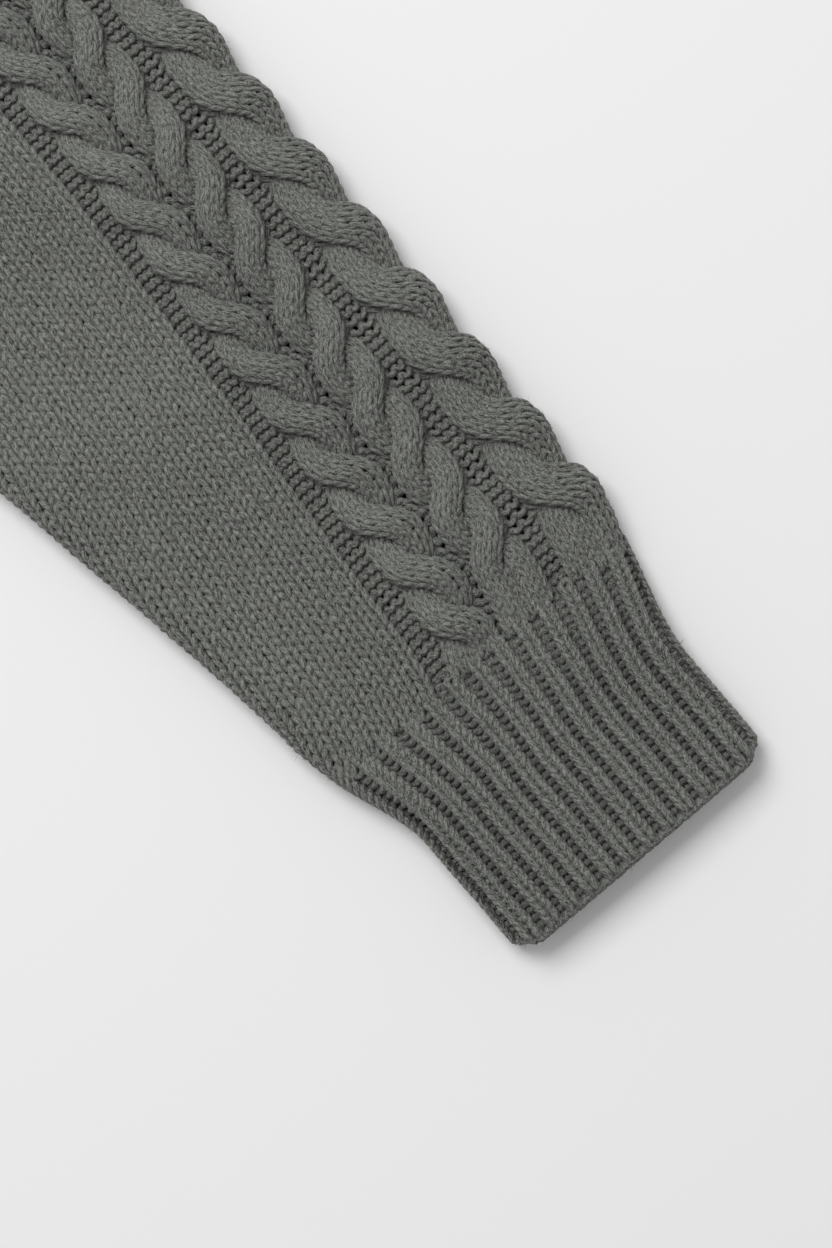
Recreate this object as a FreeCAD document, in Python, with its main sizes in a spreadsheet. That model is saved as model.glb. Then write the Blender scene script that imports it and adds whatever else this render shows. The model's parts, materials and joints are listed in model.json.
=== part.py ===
"""Left sleeve of a cable-knit pullover, lying flat with its front face up.

The sleeve is a flattened knitted tube.  The front layer lies above the back layer, and the
layers meet in a rounded fold along the centre line (+Y) and another along the underarm (-Y).
X runs along the sleeve, the cuff end at +X and the crown of the sleeve head at -X.  Z is up
from the surface that the sleeve lies on.  The origin is the middle of the footprint.

Every node is one region of the knitting: a stockinette field, a purl gutter, a cable, a rib
or an edge, on one of the three bodies upper sleeve, forearm and cuff.
"""
import FreeCAD, Part
import Sketcher
import math
import os

SIZES = {
    "cuff_length": 75.0,         # ribbed cuff, from its cast-on edge to the last rib row
    "forearm_length": 185.0,     # from the cuff to the elbow
    "upper_length": 180.0,       # from the elbow to the underarm point
    "cap_height": 120.0,         # from the underarm point to the crown of the sleeve head
    "underarm_width": 175.0,     # flat width at the underarm point
    "wrist_width": 111.4,        # flat width just above the cuff
    "bind_off": 18.0,            # straight step at the foot of the sleeve head
    "edge_band": 4.0,            # linked armhole edge and tubular cast-on edge
    "layer_thick": 3.0,          # one layer of stockinette
    "tube_gap": 6.4,             # loft between the layers
    "cable_rise": 2.0,           # how far a front cable stands proud of the stockinette
    "cable_press": 1.0,          # how much thicker a back cable is, under the sleeve's weight
    "gutter_recess": 0.8,        # how far the purl gutters lie back
    "wide_cable": 18.8,          # centre cable, at the fold
    "cable": 17.2,               # cables 1, 2, 4 and 5
    "wide_gutter": 4.4,          # between a cable and the stockinette
    "fold_gutter": 9.0,          # behind the centre cable, round the fold
    "mid_gutter": 3.0,           # between cables 2 and 3
    "slim_gutter": 1.6,          # between the two cables of a pair
    "seam_inset": 15.0,          # underarm seam, from the underarm fold
    "seam_width": 3.0,
    "seam_ridge": 1.0,           # how far the seam stands up inside the tube
    "rib_thick": 3.4,
    "cuff_inset": 9.2,           # cuff end, in from the line of the centre fold
    "cuff_width": 91.0,
    "neck_inset": 8.6,           # where the rib has pulled in
    "neck_width": 94.6,
    "neck_length": 53.0,         # from the cuff end to that place
    "cuff_top_inset": 1.0,
    "cuff_top_width": 109.4,
    "body_gap": 0.3,             # between knitting on two bodies
}

UPPER, FOREARM, CUFF = "upper", "forearm", "cuff"
QUARTER_START = {(1, 1): 0, (-1, 1): 90, (-1, -1): 180, (1, -1): 270}
CUT_MARGIN = 30.0                # how far the sleeve-head cut runs outside the knitting
LEAST_VOLUME = 1.0               # of a sound node, in cubic mm

doc = FreeCAD.newDocument("Sleeve")
sheet = doc.addObject("Spreadsheet::Sheet", "Sizes")
nodes = []


class Size:
    """A length with both its value and the spreadsheet expression that it comes from."""

    def __init__(self, text, value):
        self.text = text
        self.value = value

    @staticmethod
    def of(other):
        return other if isinstance(other, Size) else Size(repr(other), float(other))

    def __add__(self, other):
        other = Size.of(other)
        return Size(f"({self.text} + {other.text})", self.value + other.value)

    def __sub__(self, other):
        other = Size.of(other)
        return Size(f"({self.text} - {other.text})", self.value - other.value)

    def __mul__(self, number):
        return Size(f"({self.text} * {number!r})", self.value * number)

    def __truediv__(self, other):
        other = Size.of(other)
        return Size(f"({self.text} / {other.text})", self.value / other.value)

    def __neg__(self):
        return Size(f"(-{self.text})", -self.value)

    def times(self, other):
        return Size(f"({self.text} * {other.text})", self.value * other.value)


def fill_sheet():
    """Writes the driving dimensions and returns them by name."""
    found = {}
    for row, (alias, value) in enumerate(SIZES.items(), start=1):
        sheet.set(f"A{row}", alias)
        sheet.set(f"B{row}", str(value))
        sheet.setAlias(f"B{row}", alias)
        found[alias] = Size(f"Sizes.{alias}", value)
    doc.recompute()
    return found


size = fill_sheet()

# ---- places along the sleeve (X) ----
cuff_end = (size["cuff_length"] + size["forearm_length"] + size["upper_length"] + size["cap_height"]) / 2
cast_on = cuff_end - size["edge_band"]
neck = cuff_end - size["neck_length"]
wrist = cuff_end - size["cuff_length"]
elbow = wrist - size["forearm_length"]
underarm = elbow - size["upper_length"]
crown = underarm - size["cap_height"]
half_gap = size["body_gap"] / 2

# ---- places across the sleeve (Y) ----
fold = size["underarm_width"] / 2
underarm_edge = -fold
taper = (size["underarm_width"] - size["wrist_width"]) / (wrist - underarm)

# ---- heights (Z) ----
ground = Size("0", 0.0)
back_inner = size["layer_thick"]
front_inner = back_inner + size["tube_gap"]
front_outer = front_inner + size["layer_thick"]
cable_outer = front_outer + size["cable_rise"]
cable_back_inner = back_inner + size["cable_press"]
middle = front_outer / 2                     # height of the underarm fold and the cuff's folds
cable_middle = cable_outer / 2               # height of the centre fold


def width_at(x):
    """Flat width of the sleeve at x, between the wrist and the underarm."""
    return size["wrist_width"] + (wrist - x).times(taper)


def add_line(sketch, y1, z1, y2, z2):
    start = FreeCAD.Vector(y1, z1, 0)
    end = FreeCAD.Vector(y2, z2, 0)
    return sketch.addGeometry(Part.LineSegment(start, end), False)


def add_arc(sketch, y, z, radius, first, last):
    circle = Part.Circle(FreeCAD.Vector(y, z, 0), FreeCAD.Vector(0, 0, 1), radius)
    return sketch.addGeometry(Part.ArcOfCircle(circle, math.radians(first), math.radians(last)), False)


def drive(sketch, kind, geometry, point, length):
    """Constrains one coordinate of a point, from the sketch's origin, to a sheet expression."""
    index = sketch.addConstraint(Sketcher.Constraint(kind, -1, 1, geometry, point, length.value))
    sketch.setExpression(f"Constraints[{index}]", length.text)


def end_at(sketch, geometry, y, z):
    """Which end of a line or arc lies at a place: 1 for its start and 2 for its end."""
    place = FreeCAD.Vector(y, z, 0)
    return min((1, 2), key=lambda end: sketch.getPoint(geometry, end).distanceToPoint(place))


def pin(sketch, geometry, point, y, z):
    drive(sketch, "DistanceX", geometry, point, y)
    drive(sketch, "DistanceY", geometry, point, z)


def join(sketch, first, second, y, z):
    ends = (end_at(sketch, first, y, z), end_at(sketch, second, y, z))
    sketch.addConstraint(Sketcher.Constraint("Coincident", first, ends[0], second, ends[1]))


def pinned_line(sketch, y1, z1, y2, z2):
    line = add_line(sketch, y1.value, z1.value, y2.value, z2.value)
    pin(sketch, line, 1, y1, z1)
    pin(sketch, line, 2, y2, z2)
    return line


def close_side(sketch, y, inner, outer, height, side, is_round, inner_line, outer_line):
    """Closes one side of a layer's section, straight or with a quarter of a fold."""
    if not is_round:
        edge = add_line(sketch, y.value, inner.value, y.value, outer.value)
        join(sketch, edge, inner_line, y.value, inner.value)
        join(sketch, edge, outer_line, y.value, outer.value)
        return
    up = 1 if outer.value > height.value else -1
    first = QUARTER_START[(side, up)]
    tips = []
    for face, line in ((inner, inner_line), (outer, outer_line)):
        radius = abs(face.value - height.value)
        arc = add_arc(sketch, y.value, height.value, radius, first, first + 90)
        pin(sketch, arc, 3, y, height)
        join(sketch, arc, line, y.value, face.value)
        tip = y.value + side * radius
        drive(sketch, "DistanceY", arc, end_at(sketch, arc, tip, height.value), height)
        tips.append((arc, tip))
    edge = add_line(sketch, tips[0][1], height.value, tips[1][1], height.value)
    for arc, tip in tips:
        join(sketch, edge, arc, tip, height.value)


def layer_section(body, name, x, low, high, inner, outer, height=None, rounds=(False, False)):
    """A section of one layer at x, from low to high across the sleeve."""
    sketch = sketch_on(body, name, "YZ_Plane", x)
    reach = None
    if height is not None:
        reach = outer - height if outer.value > height.value else height - outer
    start = low + reach if rounds[0] else low
    end = high - reach if rounds[1] else high
    inner_line = pinned_line(sketch, start, inner, end, inner)
    outer_line = pinned_line(sketch, start, outer, end, outer)
    close_side(sketch, start, inner, outer, height, -1, rounds[0], inner_line, outer_line)
    close_side(sketch, end, inner, outer, height, 1, rounds[1], inner_line, outer_line)
    return sketch


def new_node(name):
    body = doc.addObject("PartDesign::Body", name)
    body.Label = name
    nodes.append(body)
    return body


def loft_through(body, sections):
    loft = body.newObject("PartDesign::AdditiveLoft", body.Label + "_loft")
    loft.Profile = (sections[0], [""])
    loft.Sections = [(section, [""]) for section in sections[1:]]
    loft.Ruled = True
    for section in sections:
        section.Visibility = False
    return loft


def lofted_layer(body, stations, inner, outer, height=None, rounds=(False, False)):
    """Adds a layer that changes width in straight lines between stations (x, low, high)."""
    sections = []
    for number, (x, low, high) in enumerate(stations, start=1):
        name = f"{body.Label}_section_{number}"
        sections.append(layer_section(body, name, x, low, high, inner, outer, height, rounds))
    loft_through(body, sections)


def sketch_on(body, name, role, offset):
    """An empty sketch of body's own, parallel to one of its origin planes."""
    sketch = body.newObject("Sketcher::SketchObject", name)
    plane = next(f for f in body.Origin.OriginFeatures if f.Role == role)
    sketch.AttachmentSupport = (plane, [""])
    sketch.MapMode = "FlatFace"
    sketch.AttachmentOffset = FreeCAD.Placement(FreeCAD.Vector(0, 0, offset.value), FreeCAD.Rotation())
    sketch.setExpression("AttachmentOffset.Base.z", offset.text)
    return sketch


def pad_along(body, sketch, length):
    pad = body.newObject("PartDesign::Pad", body.Label + "_pad")
    pad.Profile = sketch
    pad.Length = length.value
    pad.setExpression("Length", length.text)
    sketch.Visibility = False


def flat_layer(body, stations, low, high):
    """Adds a flat layer whose outline runs through stations (x, nearer edge, farther edge)."""
    sketch = sketch_on(body, body.Label + "_outline", "XY_Plane", low)
    there = [(x, edge) for x, edge, _ in stations]
    back = [(x, edge) for x, _, edge in reversed(stations)]
    corners = there + back
    for (x1, y1), (x2, y2) in zip(corners, corners[1:] + corners[:1]):
        pinned_line(sketch, x1, y1, x2, y2)
    pad_along(body, sketch, high - low)


# ---- the armhole edge: two equal tangent arcs between the bind-off step and the crown ----
step_end = underarm_edge + size["bind_off"]
crown_end = fold - cable_middle
cap_run = crown_end - step_end
cap_radius = (size["cap_height"].times(size["cap_height"]) + cap_run.times(cap_run)) / (
    size["cap_height"] * 4
)
half_cap = (underarm + crown) / 2
half_run = (step_end + crown_end) / 2
cap_turn = math.degrees(math.acos(1 - size["cap_height"].value / (2 * cap_radius.value)))


def armhole_curve(sketch, inset):
    """Draws the armhole edge, moved into the knitting by inset, from the step to the crown."""
    lower_y, lower_x = step_end, underarm - cap_radius
    upper_y, upper_x = crown_end, crown + cap_radius
    lower_radius = cap_radius + inset
    upper_radius = cap_radius - inset
    share = inset / cap_radius
    turn_y = half_run + (half_run - lower_y).times(share)
    lower = add_arc(sketch, lower_x.value, lower_y.value, lower_radius.value, 0, cap_turn)
    upper = add_arc(sketch, upper_x.value, upper_y.value, upper_radius.value, 180, 180 + cap_turn)
    pin(sketch, lower, 3, lower_x, lower_y)
    pin(sketch, upper, 3, upper_x, upper_y)
    pin(sketch, lower, 1, underarm + inset, lower_y)
    pin(sketch, upper, 1, crown + inset, upper_y)
    drive(sketch, "DistanceY", lower, 2, turn_y)
    drive(sketch, "DistanceY", upper, 2, turn_y)


def cut_sleeve_head(body):
    """Removes what lies outside the sleeve head, behind the linked edge."""
    sketch = sketch_on(body, body.Label + "_head_outline", "XY_Plane", ground)
    band = size["edge_band"]
    armhole_curve(sketch, band)
    far_x = crown - CUT_MARGIN
    far_y = underarm_edge - CUT_MARGIN
    corners = [
        (underarm + band, step_end),
        (underarm + band, far_y),
        (far_x, far_y),
        (far_x, crown_end),
        (crown + band, crown_end),
    ]
    for (x1, y1), (x2, y2) in zip(corners, corners[1:]):
        pinned_line(sketch, x1, y1, x2, y2)
    pocket = body.newObject("PartDesign::Pocket", body.Label + "_head")
    pocket.Profile = sketch
    pocket.Type = "ThroughAll"
    pocket.Midplane = True
    sketch.Visibility = False


def armhole_band(name, low, high):
    """The linked edge of one layer, between heights low and high."""
    body = new_node(name)
    sketch = sketch_on(body, name + "_outline", "XY_Plane", low)
    band = size["edge_band"]
    start = underarm_edge + middle
    armhole_curve(sketch, ground)
    armhole_curve(sketch, band)
    pinned_line(sketch, underarm, step_end, underarm, start)
    pinned_line(sketch, underarm, start, underarm + band, start)
    pinned_line(sketch, underarm + band, start, underarm + band, step_end)
    pinned_line(sketch, crown, crown_end, crown + band, crown_end)
    pad_along(body, sketch, high - low)


def fold_ring(name, x, centre, height, inner_radius, side):
    """The linked edge where it goes round a fold: half a ring, one edge band long."""
    body = new_node(name)
    sketch = sketch_on(body, name + "_section", "YZ_Plane", x)
    arcs = []
    for radius in (inner_radius, height):
        first = -90 if side > 0 else 90
        arc = add_arc(sketch, centre.value, height.value, radius.value, first, first + 180)
        pin(sketch, arc, 3, centre, height)
        pin(sketch, arc, 1, centre, height - radius if side > 0 else height + radius)
        drive(sketch, "DistanceX", arc, 2, centre)
        arcs.append(arc)
    for sign in (-1, 1):
        ends = [height.value + sign * radius.value for radius in (inner_radius, height)]
        edge = add_line(sketch, centre.value, ends[0], centre.value, ends[1])
        join(sketch, edge, arcs[0], centre.value, ends[0])
        join(sketch, edge, arcs[1], centre.value, ends[1])
    pad_along(body, sketch, size["edge_band"])


def columns(names, start):
    """Places columns side by side from the fold: name, nearer edge and farther edge."""
    placed = []
    edge = start
    for name, width in names:
        following = edge - size[width]
        placed.append((name, edge, following))
        edge = following
    return placed


FRONT_COLUMNS = columns(
    [
        ("cable_3", "wide_cable"),
        ("gutter_3", "mid_gutter"),
        ("cable_2", "cable"),
        ("gutter_2", "slim_gutter"),
        ("cable_1", "cable"),
        ("gutter_1", "wide_gutter"),
    ],
    fold,
)
BACK_COLUMNS = columns(
    [
        ("gutter_4", "fold_gutter"),
        ("cable_4", "cable"),
        ("gutter_5", "slim_gutter"),
        ("cable_5", "cable"),
        ("gutter_6", "wide_gutter"),
    ],
    fold,
)


def straight_column(part, name, near, far, first_x, last_x):
    """A cable or gutter: the same width all along, parallel to the centre fold."""
    body = new_node(f"{part}_{name}")
    is_cable = name.startswith("cable")
    if (name, near, far) in FRONT_COLUMNS:
        inner = front_inner
        outer = cable_outer if is_cable else front_outer - size["gutter_recess"]
    else:
        inner = cable_back_inner if is_cable else back_inner
        outer = ground if is_cable or near is fold else size["gutter_recess"]
    stations = [(first_x, far, near), (last_x, far, near)]
    if near is fold:
        lofted_layer(body, stations, inner, outer, cable_middle, (False, True))
    elif inner.value < outer.value:
        flat_layer(body, stations, inner, outer)
    else:
        flat_layer(body, stations, outer, inner)
    return body


def underarm_line(x):
    """Where the underarm fold lies across the sleeve at x."""
    return fold - width_at(x)


def stockinette_part(part, first_x, last_x, has_head):
    """The plain fields and the seam, which widen towards the underarm."""
    seam_far = size["seam_inset"]
    seam_near = size["seam_inset"] + size["seam_width"]
    front_edge = FRONT_COLUMNS[-1][2]
    back_edge = BACK_COLUMNS[-1][2]
    ends = [(x, underarm_line(x)) for x in (first_x, last_x)]

    front = new_node(f"{part}_front_stockinette")
    lofted_layer(
        front,
        [(x, line, front_edge) for x, line in ends],
        front_inner,
        front_outer,
        middle,
        (True, False),
    )
    back = new_node(f"{part}_back_stockinette")
    back_field = [(x, line + seam_near, back_edge) for x, line in ends]
    if has_head:
        back_field.insert(0, (crown, back_field[0][1], back_edge))
    flat_layer(back, back_field, ground, back_inner)

    lofted_layer(
        new_node(f"{part}_underarm_stockinette"),
        [(x, line, line + seam_far) for x, line in ends],
        back_inner,
        ground,
        middle,
        (True, False),
    )
    flat_layer(
        new_node(f"{part}_underarm_seam"),
        [(x, line + seam_far, line + seam_near) for x, line in ends],
        ground,
        back_inner + size["seam_ridge"],
    )
    if has_head:
        head = sketch_on(front, front.Label + "_head_field", "YZ_Plane", crown)
        rectangle(head, ends[0][1] + middle, front_edge, front_inner, front_outer)
        pad_along(front, head, first_x - crown)
        cut_sleeve_head(front)
        cut_sleeve_head(back)


def rectangle(sketch, y1, y2, z1, z2):
    corners = [(y1, z1), (y2, z1), (y2, z2), (y1, z2)]
    for first, second in zip(corners, corners[1:] + corners[:1]):
        pinned_line(sketch, *first, *second)


def sleeve_part(part, first_x, last_x, has_head):
    """All the regions of the upper sleeve or of the forearm."""
    column_start = crown + size["edge_band"] if has_head else first_x
    for name, near, far in FRONT_COLUMNS + BACK_COLUMNS:
        body = straight_column(part, name, near, far, column_start, last_x)
        if has_head:
            cut_sleeve_head(body)
    field_start = first_x + size["edge_band"] if has_head else first_x
    stockinette_part(part, field_start, last_x, has_head)


def cuff_part():
    """The ribbed cuff, its seam and its tubular cast-on edge."""
    front_rib_inner = front_outer - size["rib_thick"]
    back_rib_inner = size["rib_thick"]

    def edges(x, inset, width):
        return x, fold - size[inset] - size[width], fold - size[inset]

    stations = [
        edges(wrist + half_gap, "cuff_top_inset", "cuff_top_width"),
        edges(neck, "neck_inset", "neck_width"),
        edges(cast_on, "cuff_inset", "cuff_width"),
    ]
    both = (True, True)
    lofted_layer(new_node("cuff_rib_front"), stations, front_rib_inner, front_outer, middle, both)

    seam_far = size["seam_inset"]
    seam_near = size["seam_inset"] + size["seam_width"]
    back = [(x, low + seam_near, high) for x, low, high in stations]
    lofted_layer(new_node("cuff_rib_back"), back, back_rib_inner, ground, middle, (False, True))
    under = [(x, low, low + seam_far) for x, low, high in stations]
    lofted_layer(new_node("cuff_rib_underarm"), under, back_rib_inner, ground, middle, (True, False))
    seam = [(x, low + seam_far, low + seam_near) for x, low, high in stations]
    flat_layer(new_node("cuff_seam"), seam, ground, back_rib_inner + size["seam_ridge"])

    edge = [edges(x, "cuff_inset", "cuff_width") for x in (cast_on, cuff_end)]
    lofted_layer(new_node("cast_on_edge_front"), edge, front_rib_inner, front_outer, middle, both)
    lofted_layer(new_node("cast_on_edge_back"), edge, back_rib_inner, ground, middle, both)


def armhole_edge():
    armhole_band("armhole_edge_front", front_inner, front_outer)
    armhole_band("armhole_edge_back", ground, back_inner)
    inner = middle - size["layer_thick"]
    fold_ring("armhole_edge_crown", crown, crown_end, cable_middle, cable_middle - size["layer_thick"], 1)
    fold_ring("armhole_edge_underarm", underarm, underarm_edge + middle, middle, inner, -1)


def check_document():
    """Stops the script if an object failed or a node is not one sound solid."""
    doc.recompute()
    for thing in doc.Objects:
        if "Invalid" in thing.State or "Error" in thing.State:
            raise RuntimeError(f"{thing.Label} failed: {thing.State}")
    for node in nodes:
        shape = node.Shape
        if shape.isNull() or not shape.isValid() or shape.Volume < LEAST_VOLUME:
            raise RuntimeError(f"{node.Label} has no sound shape")
        box = shape.BoundBox
        print(
            f"{node.Label:32s} {len(shape.Solids)} solid {shape.Volume:9.0f} mm3"
            f"  x {box.XMin:7.1f} {box.XMax:7.1f}  y {box.YMin:6.1f} {box.YMax:6.1f}"
            f"  z {box.ZMin:5.1f} {box.ZMax:5.1f}"
        )


def export_nodes():
    os.makedirs("parts", exist_ok=True)
    for node in nodes:
        node.Shape.exportStep(f"parts/{node.Label}.step")


sleeve_part(UPPER, underarm, elbow - half_gap, True)
sleeve_part(FOREARM, wrist - size["forearm_length"] + half_gap, wrist - half_gap, False)
cuff_part()
armhole_edge()
check_document()
export_nodes()
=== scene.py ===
"""A grey cable-knit pullover sleeve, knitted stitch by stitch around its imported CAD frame.

Every stitch is a real loop of yarn.  The sleeve is worked from the cuff up, in rows that run round
the flattened tube, and each row's yarn is one tube that passes from stitch to stitch.
Lengths here are millimetres until a mesh is made.

  around : distance round the tube from the centre fold, positive on the front face
  up     : distance from the cuff end towards the armhole
  out    : height above the knitting's middle surface, towards the outside of the sleeve
"""
import json
import math
from collections import namedtuple

import bpy
import numpy as np
from mathutils import Matrix, Vector


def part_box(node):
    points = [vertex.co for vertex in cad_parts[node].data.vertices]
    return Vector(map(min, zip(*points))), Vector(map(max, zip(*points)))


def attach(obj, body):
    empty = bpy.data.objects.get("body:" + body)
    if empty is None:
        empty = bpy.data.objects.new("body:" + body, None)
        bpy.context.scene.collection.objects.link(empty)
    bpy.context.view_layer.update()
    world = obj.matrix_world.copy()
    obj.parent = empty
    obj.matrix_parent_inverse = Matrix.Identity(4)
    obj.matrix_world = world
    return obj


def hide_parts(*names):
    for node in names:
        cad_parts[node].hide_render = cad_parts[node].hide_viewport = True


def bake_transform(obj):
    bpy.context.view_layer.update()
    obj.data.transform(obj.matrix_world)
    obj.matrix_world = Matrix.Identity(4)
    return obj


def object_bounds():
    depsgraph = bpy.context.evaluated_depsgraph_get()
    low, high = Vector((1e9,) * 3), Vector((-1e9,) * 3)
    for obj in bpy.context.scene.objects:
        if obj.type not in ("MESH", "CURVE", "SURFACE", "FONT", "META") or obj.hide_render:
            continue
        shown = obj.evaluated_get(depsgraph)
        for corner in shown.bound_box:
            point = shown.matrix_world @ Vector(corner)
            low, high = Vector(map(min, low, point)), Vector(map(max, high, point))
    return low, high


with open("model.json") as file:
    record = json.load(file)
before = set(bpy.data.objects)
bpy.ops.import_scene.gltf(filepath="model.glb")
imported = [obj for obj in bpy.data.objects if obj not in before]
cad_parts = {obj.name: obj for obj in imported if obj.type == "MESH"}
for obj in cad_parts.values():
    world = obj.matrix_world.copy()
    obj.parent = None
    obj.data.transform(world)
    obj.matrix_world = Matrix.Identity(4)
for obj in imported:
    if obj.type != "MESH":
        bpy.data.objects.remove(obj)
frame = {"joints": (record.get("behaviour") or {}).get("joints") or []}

MM = 1000.0                      # millimetres in a metre
FULL_TURN = 2 * math.pi
cad_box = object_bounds()
joints = {joint["name"]: joint for joint in frame["joints"]}
rng = np.random.default_rng(41)


def box_mm(node):
    low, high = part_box(node)
    return np.array(low) * MM, np.array(high) * MM


# ---------------------------------------------------------------- places from the frame
CUFF_END = cad_box[1].x * MM
CROWN = cad_box[0].x * MM
CENTRE_FOLD = cad_box[1].y * MM
UNDERARM_FOLD = cad_box[0].y * MM
ELBOW = joints["elbow_fold"]["pos_m"][0] * MM
WRIST = joints["cuff_fold"]["pos_m"][0] * MM
MID_FOREARM = (ELBOW + WRIST) / 2
UNDERARM = box_mm("armhole_edge_underarm")[0][0]
CUFF_LENGTH = CUFF_END - WRIST
FOREARM_FRONT = box_mm("forearm_front_stockinette")
UNDERARM_SLOPE = (FOREARM_FRONT[0][1] - UNDERARM_FOLD) / (FOREARM_FRONT[0][0] - UNDERARM)
LAYER_TOP = FOREARM_FRONT[1][2]
LAYER = LAYER_TOP - box_mm("forearm_gutter_1")[0][2]
STEP_END = UNDERARM_FOLD + 18.0  # bind-off step at the foot of the sleeve head
CROWN_END = box_mm("armhole_edge_front")[1][1]

# ---------------------------------------------------------------- the tube's section
MIDDLE = LAYER_TOP / 2
FOLD_RISE = MIDDLE - LAYER / 2   # from the middle height to a layer's middle surface
FOLD_REACH = 5.4                 # how far a fold curves out sideways
QUARTER = math.pi / 2 * math.sqrt((FOLD_RISE**2 + FOLD_REACH**2) / 2)
CABLE_SIDE = 2.4                 # knitting outside the middle surface at the cabled fold
PLAIN_SIDE = 1.2
LOFT = 1.3                       # how much the front layer crowns up between the folds
SEAM_IN = 16.5                   # the seam lies this far in from the underarm fold, on the back
CORNER = 3.2                     # the cuff's corners are rounded back by this much
CORNER_REACH = 7.0               # in from each fold
CORNER_RUN = 8.0                 # height above the cuff end over which the rounding fades

# ---------------------------------------------------------------- the tube's outline
Opening = namedtuple("Opening", "start run")   # the height where it starts, and over what height
CENTRE_OPENING = Opening(34.0, 62.0)
UNDERARM_OPENING = Opening(42.0, 46.0)
RIB_OPENING = Opening(34.0, 58.0)
CUFF_INSET = 12.1                # the cuff stands in from the line of the centre fold
CUFF_FOOT = box_mm("cast_on_edge_front")[0][1] - 4.9   # underarm side of the pulled-in cuff
CENTRE_PROUD = 0.8               # the knitting stands outside the frame's line by this much
UNDERARM_PROUD = 1.0
BLOUSE = 2.7                     # the sleeve puffs out over the cuff on its underarm side
BLOUSE_START = CUFF_LENGTH + 9.0
BLOUSE_RUN = 41.0
CENTRE_WAVER = 0.3               # how far the folds, the face and the plain wales waver
UNDERARM_WAVER = 0.4
FACE_WAVER = 0.25
WALE_WAVER = 0.4
FACE_ACROSS, FACE_UP = 1.3, 0.4  # how fast the face's waver changes across and up the sleeve
WAVES = ((31.0, 1.0, 1.0), (13.7, 0.6, 2.1), (7.3, 0.4, 4.7))   # length, share, shift by the seed

# ---------------------------------------------------------------- gauge and stitches
WALE = 4.24
COURSE = 3.1
LOOP_POINTS = 8                  # along one stitch of the yarn's centre line, before smoothing
STEPS = 2 * LOOP_POINTS          # rings along one stitch
SIDES = 6                        # of a yarn's section
YARN_WAVER = 0.05                # share by which the yarn's radius varies
SINKER_DEPTH = 0.75              # where two stitches' ends join, from the higher one to the lower

# A stitch's half height, its curl out of the surface, its sideways swing, its looseness, its
# yarn's radius, and its face: 1 for a knit stitch and -1 for a purl.
Stitch = namedtuple("Stitch", "height depth sway loose yarn face")
PLAIN = Stitch(2.6, 0.9, 0.21, 0.12, 1.06, 1)
CABLED = Stitch(2.6, 0.6, 0.24, 0.06, 0.9, 1)
PURL = Stitch(2.1, 0.9, 0.21, 0.12, 1.15, -1)
FINE_PURL = PURL._replace(yarn=0.97)

# ---------------------------------------------------------------- cables and gutters
CABLE_WALE = 2.85
TAIL = 0.085                     # how far a strand runs straight before it turns to cross
CABLE_RISE = 1.0                 # a strand's middle above the plain knitting
CROSS_LIFT = 2.9                 # of the strand on top at a crossing
CROSS_DIP = 1.9                  # of the strand beneath it
STRAND_ROUND = 2.6               # a strand's edges lie this far below its middle
RELIEF_RUN = 8.0                 # height above the cuff over which a cable gains its relief
CROWN_MARGIN = 4.0               # no strand crosses nearer to the crown
BACK_PRESS = 1.9                 # back cables lie pressed up into the tube
NOTCH = 2.2                      # a gutter bows this far into a cable's waist
NOTCH_REACH = 5.0                # from the cable's edge
NOTCH_RUN = 12.0                 # height above the cuff over which the bows grow
GUTTER_RECESS = 3.1
SPREAD = 0.10                    # the front's wales fan out towards the cuff by this share
SPREAD_UP = 170.0                # up the sleeve, where the wales have their nominal width
SPREAD_RUN = 95.0
FIRST_CABLE = -2.6               # round the tube, where the centre cable starts
LAST_GUTTER = 66.0               # round the tube, the last purl column of the front
FRONT_SPARE = 60.0               # plain columns beyond the layer's width, on past the fold
BACK_SPARE = -20.0

# ---------------------------------------------------------------- the rib
RIBS = 26                        # knit columns round the cuff
RIB_COURSE = 2.42
RIB_HEIGHT, RIB_DEPTH, RIB_SWAY, RIB_LOOSE = 2.4, 0.55, 0.2, 0.08
RIB_SHARE = 0.80                 # knit columns' share of a repeat, where the rib is pulled in
OPEN_LOSS = 0.22                 # of that share, where the rib opens
RIB_SLIM = 0.88                  # a knit loop's width against its column's
RIB_PROUD, VALLEY = 0.9, -3.3    # heights of the knit and of the purl columns
VALLEY_LOSS = 0.5                # share of that relief lost where the rib opens
VALLEY_STRETCH = 0.15            # extra height of the purl loops
RIB_YARN, VALLEY_YARN, VALLEY_SWELL = 1.1, 1.05, 0.1
FIRST_PURL = 4.5                 # purl columns start within this distance of the sleeve
FIRST_PURL_RUN = 3.0
HEM_START, HEM_RUN = -3.0, 8.0   # the relief grows from the cast-on edge
LIP, LIP_RUN = 1.1, 4.0          # the edge turns in
EDGE_UP = 0.5                    # no rib loop hangs below this height
UNDERARM_RIB = 3.0               # the underarm rib starts this far before its fold's end

# ---------------------------------------------------------------- linking stitches
Link = namedtuple("Link", "length width out radius")
SEAM_LINK = Link(3.2, 2.4, 0.6, 0.72)
ARMHOLE_LINK = Link(3.4, 3.2, 0.2, 0.95)
CAST_ON_LINK = Link(2.4, 1.4, -0.7, 0.85)
LINK_SLANT = 0.2                 # share of its length that a link leans forward
LINK_CURL = 0.5                  # share of its radius that a link rises and falls
SEAM_FOOT = 1.0                  # height at which the cuff's seam starts
SEAM_SAMPLES, CAST_ON_SAMPLES, HEAD_SAMPLES, CROWN_SAMPLES = 60, 200, 160, 12
CAST_ON_UP = 0.9

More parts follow.
